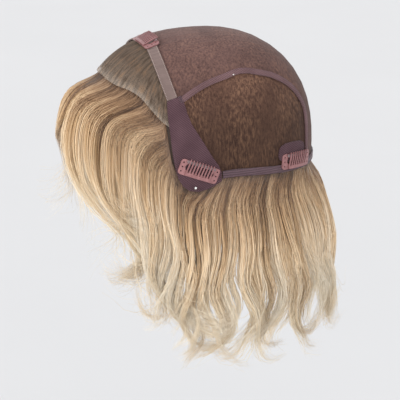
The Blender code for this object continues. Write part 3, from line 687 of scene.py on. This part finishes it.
def silicone_material():
    """Milky grip silicone."""
    material, tree, shader = node_material("grip_silicone")
    cloud = noise(tree, mapped(tree, (1, 1, 1)), 500.0, 2.0)
    colour = ramp(tree, cloud, ((0.3, (0.26, 0.18, 0.185)), (0.7, (0.34, 0.25, 0.255))))
    tree.links.new(colour, shader.inputs["Base Color"])
    shader.inputs["Roughness"].default_value = 0.32
    shader.inputs["Transmission Weight"].default_value = 0.35
    shader.inputs["Subsurface Weight"].default_value = 0.3
    shader.inputs["Subsurface Radius"].default_value = (0.002, 0.001, 0.001)
    bump(tree, shader, cloud, 0.1, 0.0002)
    return material


def silver_material():
    """A small polished ball, lightly scratched."""
    material, tree, shader = node_material("stud_metal")
    grain = noise(tree, mapped(tree, (1, 1, 1)), 900.0, 4.0)
    colour = ramp(tree, grain, ((0.2, (0.72, 0.70, 0.68)), (0.8, (0.9, 0.89, 0.87))))
    tree.links.new(colour, shader.inputs["Base Color"])
    shader.inputs["Metallic"].default_value = 1.0
    shader.inputs["Roughness"].default_value = 0.18
    bump(tree, shader, grain, 0.05, 0.0001)
    return material


def dress(node, material):
    """Give a carried-over solid its finish."""
    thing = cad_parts[node]
    thing.data.materials.clear()
    thing.data.materials.append(material)


def add_camera():
    """The photo's view: the cap's middle falls where the photo has it."""
    azimuth = math.radians(CAMERA_AZIMUTH)
    elevation = math.radians(CAMERA_ELEVATION)
    back = Vector((math.sin(azimuth) * math.cos(elevation), -math.cos(azimuth) * math.cos(elevation),
                   math.sin(elevation)))
    data = bpy.data.cameras.new("view")
    data.sensor_width = SENSOR_WIDTH
    data.lens = data.sensor_width * CAMERA_FOCUS / FRAME_SIZE
    data.clip_end = 50
    camera = bpy.data.objects.new("view", data)
    camera.location = Vector(CENTRE) + back * CAMERA_DISTANCE
    turn = math.atan((FRAME_SIZE / 2 - CENTRE_ACROSS) / CAMERA_FOCUS)
    nod = math.atan((FRAME_SIZE / 2 - CENTRE_DOWN) / CAMERA_FOCUS)
    aim = back.to_track_quat("Z", "Y") @ Euler((-nod, -turn, 0)).to_quaternion()
    camera.rotation_euler = aim.to_euler()
    bpy.context.scene.collection.objects.link(camera)
    bpy.context.scene.camera = camera


def add_light(name, place, strength, softness):
    """A soft distant light from a place."""
    data = bpy.data.lights.new(name, "SUN")
    data.energy = strength
    data.angle = softness
    light = bpy.data.objects.new(name, data)
    light.rotation_euler = Vector(place).to_track_quat("Z", "Y").to_euler()
    bpy.context.scene.collection.objects.link(light)


def add_studio():
    """A pale floor, a pale surround and soft lights."""
    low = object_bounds()[0][2]
    mesh = bpy.data.meshes.new("floor")
    level = low - FLOOR_BELOW
    ends = ((-FLOOR_REACH, -FLOOR_REACH), (FLOOR_REACH, -FLOOR_REACH),
            (FLOOR_REACH, FLOOR_REACH), (-FLOOR_REACH, FLOOR_REACH))
    mesh.from_pydata([(across, ahead, level) for across, ahead in ends], [], [(0, 1, 2, 3)])
    floor = bpy.data.objects.new("floor", mesh)
    bpy.context.scene.collection.objects.link(floor)
    material, tree, shader = node_material("floor")
    grain = noise(tree, mapped(tree, (1, 1, 1)), 3.0)
    tree.links.new(ramp(tree, grain, ((0.3, (0.655, 0.655, 0.66)), (0.7, (0.665, 0.665, 0.67)))),
                   shader.inputs["Base Color"])
    shader.inputs["Roughness"].default_value = 0.9
    mesh.materials.append(material)
    world = bpy.data.worlds.new("surround")
    world.use_nodes = True
    background = world.node_tree.nodes["Background"]
    background.inputs["Color"].default_value = SURROUND_COLOUR
    background.inputs["Strength"].default_value = SURROUND_STRENGTH
    bpy.context.scene.world = world
    bpy.context.scene.view_settings.view_transform = "Standard"
    add_light("key", *KEY_LIGHT)
    add_light("fill", *FILL_LIGHT)


def mirrored(points):
    """The same points on the other side of the midline."""
    return points * np.array([-1, 1, 1])


def add_stitches(name, lines, spacing, radius, slant, material, slot):
    """Short raised stitches along lines of directions on the cap, on both sides."""
    pieces = []
    for line in lines:
        surface = on_head(line, np.full(len(line), TAPE_TOP))
        along = np.concatenate([[0], np.cumsum(np.linalg.norm(np.diff(surface, axis=0), axis=1))])
        count = int(along[-1] / spacing)
        starts = (np.arange(count) + 0.5) * spacing
        for share, rise in ((-0.36, -0.6), (-0.12, 0.7), (0.12, 0.7), (0.36, -0.6)):
            at = starts + share * spacing
            point = np.stack([np.interp(at, along, surface[:, axis]) for axis in range(3)], -1)
            pieces.append((point, rise, share, count))
    stitches = []
    for first in range(0, len(pieces), 4):
        rows = []
        for point, rise, share, count in pieces[first:first + 4]:
            out = unit(point - CENTRE)
            run = unit(np.gradient(point, axis=0))
            side = np.cross(out, run) * np.where(np.arange(count) % 2 == 0, 1, -1)[:, None]
            rows.append(point + out * rise * radius + side * slant * share * 2)
        stitches.append(np.stack(rows, 1))
    points = np.concatenate(stitches)
    points = np.concatenate([points, mirrored(points)])
    radii = np.tile(radius * np.array([0.5, 1.0, 1.0, 0.5]), (len(points), 1))
    tones = np.random.default_rng(3).uniform(0.2, 0.8, len(points))
    add_piece(name, tube_mesh(name, points, radii, tones, np.ones(len(points)), 4), material, slot)


def add_all_stitches():
    """Thread along the band, the seams, the rim and the ear tabs."""
    band = path(BAND_ARC, 60)
    seam = path(SEAM_ARC + SEAM_BACK[1:], 160)
    rim = path(RIM_TOP, 120)
    tab = path(TAB_FRONT[2:] + TAB_FOOT[1:], 80)
    tack = path(TACK, 12)
    pale = thread_material("band_thread", (0.42, 0.33, 0.29), (0.55, 0.44, 0.39))
    plum = thread_material("seam_thread", (0.10, 0.055, 0.066), (0.17, 0.10, 0.115))
    # Name, line, distances beside it, spacing, radius, slant, thread, slot
    rows = (
        ("band_stitches", band, (0.0034, -0.0034), 0.0013, 0.00016, 0.0003, pale, "band_tape"),
        ("seam_stitches", seam, (0.0015, -0.0015), 0.0015, THREAD_RADIUS, 0.0003, plum, "seam_tape"),
        ("rim_stitches", rim, (-0.0011, -0.0046), 0.0020, THREAD_RADIUS, 0.0, plum, "rim_satin"),
        ("bar_tacks", tack, (-0.0010, -0.0005, 0.0, 0.0005, 0.0010), 0.0009, 0.00036, 0.0, plum,
         "seam_tape"),
        ("tab_stitches", tab, (0.0013,), 0.0016, THREAD_RADIUS, 0.0003, plum, "tab_knit"),
    )
    for name, line, asides, *values in rows:
        add_stitches(name, [shifted(line, aside) for aside in asides], *values)


def add_lace(material):
    """The lace front as a sheer sheet, pale and open at the hairline."""
    across = 96
    down = 26
    rear = shifted(path(BAND_ARC, across), -0.0008)
    edge = path(LACE_EDGE + (LACE_CORNER,), across)
    half = np.stack([unit(rear * (1 - part) + edge * part) for part in np.linspace(0, 1, down)], 1)
    half[0, :, 0] = 0
    half = unit(half)
    grid = np.concatenate([mirrored(half[:0:-1]), half])
    fray = 0.00018 * np.sin(np.arange(len(grid)) * 1.9)
    lift = np.full(grid.shape[:2], LACE_LIFT) + fray[:, None] * (np.arange(down) > down - 3)
    points = on_head(grid, lift)
    columns, rows = grid.shape[:2]
    faces = []
    for i in range(columns - 1):
        for j in range(rows - 1):
            first = i * rows + j
            faces.append((first, first + rows, first + rows + 1, first + 1))
    mesh = bpy.data.meshes.new("lace_net")
    mesh.from_pydata(points.reshape(-1, 3).tolist(), [], faces)
    layer = mesh.uv_layers.new(name="OFBake")
    for loop in mesh.loops:
        i, j = divmod(loop.vertex_index, rows)
        layer.data[loop.index].uv = (i / (columns - 1), j / (rows - 1))
    mesh.shade_smooth()
    lace = add_piece("lace_net", mesh, material, "lace", "lace_front")
    wall = lace.modifiers.new("wall", "SOLIDIFY")
    wall.thickness = LACE_WALL
    wall.offset = 0.0


def add_knot_highlight(material):
    """The small pale thread knot on the seam; its pale colour is a painted highlight."""
    mesh = bpy.data.meshes.new("seam_knot_highlight")
    form = bmesh.new()
    bmesh.ops.create_icosphere(form, subdivisions=2, radius=KNOT_HIGHLIGHT_RADIUS)
    place = on_head(ways(KNOT_HIGHLIGHT_PLACE[None]), np.array([TAPE_TOP]))[0]
    for index, vert in enumerate(form.verts):
        vert.co = Vector(place) + vert.co * (1 + 0.15 * math.sin(index * 2.1))
    form.to_mesh(mesh)
    form.free()
    mesh.shade_smooth()
    add_piece("seam_knot_highlight", mesh, material, "seam_tape")


def lining_mesh():
    """The hair that lies under the cap and behind the falling strands: one ridged wall."""
    columns = 240
    down = 26
    turn = np.linspace(0, 2, columns, endpoint=False)
    chance = np.random.default_rng(5)
    fall = np.linspace(0, 0.44, down)
    ragged = chance.uniform(0.72, 1.0, columns)
    late = eased((fall / 0.44 - 0.55) / 0.45)
    front = 1 - eased(np.minimum(turn, 2 - turn) / 0.4)
    reach = fall[:, None] * (1 + (ragged[None] - 1) * late[:, None]) * (1 - 0.36 * front[None])
    grid = base_point(turn[None].repeat(down, 0), reach)
    ridge = chance.uniform(-0.0006, 0.0006, columns)
    outward = unit(grid * np.array([1, 1, 0]))
    inward = -LINING_SINK * eased((fall - EXIT_SHARE * 0.6) / 0.2)
    grid = grid + outward * (ridge[None] * eased(fall / 0.3)[:, None] + inward[:, None])[..., None]
    top = on_head(np.array([[0, 0, 1.0]]), np.array([0.0]))
    lean = unit(grid[0] - CENTRE)
    rings = [top]
    for share in np.linspace(0, 1, 13)[1:-1]:
        angle = np.arccos(np.clip(lean[:, 2], -1, 1)) * share
        level = unit(lean * np.array([1, 1, 0]))
        way = level * np.sin(angle)[:, None] + np.array([0, 0, 1]) * np.cos(angle)[:, None]
        rings.append(on_head(way, np.zeros(columns)))
    points = np.vstack(rings + [row for row in grid])
    rows = len(rings) - 1 + down
    faces = [(0, 1 + index, 1 + (index + 1) % columns) for index in range(columns)]
    for row in range(rows - 1):
        for index in range(columns):
            after = (index + 1) % columns
            first = 1 + row * columns
            below = first + columns
            faces.append((first + index, below + index, below + after, first + after))
    mesh = bpy.data.meshes.new("hair_lining")
    mesh.from_pydata(points.tolist(), [], faces)
    layer = mesh.uv_layers.new(name="OFBake")
    tones = chance.uniform(0.0, 0.4, columns)
    for loop in mesh.loops:
        index = max(loop.vertex_index - 1, 0)
        row = index // columns
        along = max(0.0, (row - len(rings) + 2) / down) * 0.40
        layer.data[loop.index].uv = (tones[index % columns], along)
    mesh.shade_smooth()
    return mesh


def add_hair(material):
    """The lining wall and the groups of strands."""
    lining = add_piece("hair_lining", lining_mesh(), material, "hair_fibre", "hair")
    wall = lining.modifiers.new("wall", "SOLIDIFY")
    wall.thickness = LINING_WALL
    wall.offset = -1.0
    for seed, (name, *values) in enumerate(HAIR_GROUPS):
        mesh = tube_mesh(name, *strands(*values, 21 + seed))
        add_piece(name, mesh, material, "hair_fibre", "hair")


def dress_cap():
    """Finishes for the solids that are shown as they are."""
    # Each cloth's height stops, before its net scale, are painted shading: darker toward the bottom,
    # lighter toward the top.
    crown_cloth = cloth_material(
        "mesh_cloth", ((0.075, 0.042, 0.035), (0.108, 0.062, 0.052)), (0.19, 0.108, 0.076),
        620.0, (0.5, 0.0, 0.2),
        ((0.0, (0.80, 0.76, 0.80)), (0.6, (1.0, 0.94, 0.92)), (1.0, (1.3, 1.25, 1.3))), 640.0)
    side_cloth = cloth_material(
        "weft_cloth", ((0.046, 0.023, 0.016), (0.070, 0.037, 0.025)), (0.175, 0.100, 0.060),
        760.0, (0.12, 0.0, 0.0),
        ((0.0, (0.72, 0.66, 0.60)), (0.45, (1.0, 0.95, 0.90)), (0.8, (1.7, 1.65, 1.65))), 700.0)
    band_cloth = ribbed_material(
        "band_tape", ((0.165, 0.118, 0.102), (0.215, 0.155, 0.138)), 420.0, (0, 0, 0), 0.0003)
    seam_cloth = ribbed_material(
        "seam_tape", ((0.125, 0.066, 0.068), (0.175, 0.098, 0.100)), 260.0, (0.6, 0, 0), 0.0004)
    knit_cloth = ribbed_material(
        "tab_knit", ((0.070, 0.032, 0.040), (0.100, 0.050, 0.060)), 230.0, (0.7, 0, 0), 0.0004)
    satin_cloth = ribbed_material(
        "rim_satin", ((0.075, 0.040, 0.050), (0.115, 0.068, 0.080)), 170.0, (0, 0, 0), 0.0005, 0.45)
    paint = paint_material()
    silicone = silicone_material()
    silver = silver_material()
    dress("crown_panel", crown_cloth)
    dress("front_band", band_cloth)
    dress("rim_band", satin_cloth)
    for side in ("left", "right"):
        dress("side_panel_" + side, side_cloth)
        dress("ear_tab_" + side, knit_cloth)
        dress("seam_tape_" + side, seam_cloth)
        dress("clip_patch_" + side, knit_cloth)
        dress("tab_stud_" + side, silver)
    for clip in ("front", "side_left", "side_right", "back_left", "back_right"):
        dress("clip_" + clip + "_frame", paint)
        dress("clip_" + clip + "_comb", paint)
        dress("clip_" + clip + "_grip", silicone)


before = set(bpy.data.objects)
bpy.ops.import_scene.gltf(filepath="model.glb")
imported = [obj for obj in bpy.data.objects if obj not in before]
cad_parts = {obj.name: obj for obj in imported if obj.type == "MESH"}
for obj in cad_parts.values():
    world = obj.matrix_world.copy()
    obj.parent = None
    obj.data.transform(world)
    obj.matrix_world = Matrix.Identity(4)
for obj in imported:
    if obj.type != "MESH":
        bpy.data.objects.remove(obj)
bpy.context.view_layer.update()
add_camera()
add_studio()
dress_cap()
add_lace(lace_material())
add_all_stitches()
# The knot's pale thread is a painted highlight on the seam.
add_knot_highlight(thread_material("knot_highlight_thread", (0.6, 0.56, 0.52), (0.8, 0.77, 0.73)))
add_hair(hair_material())
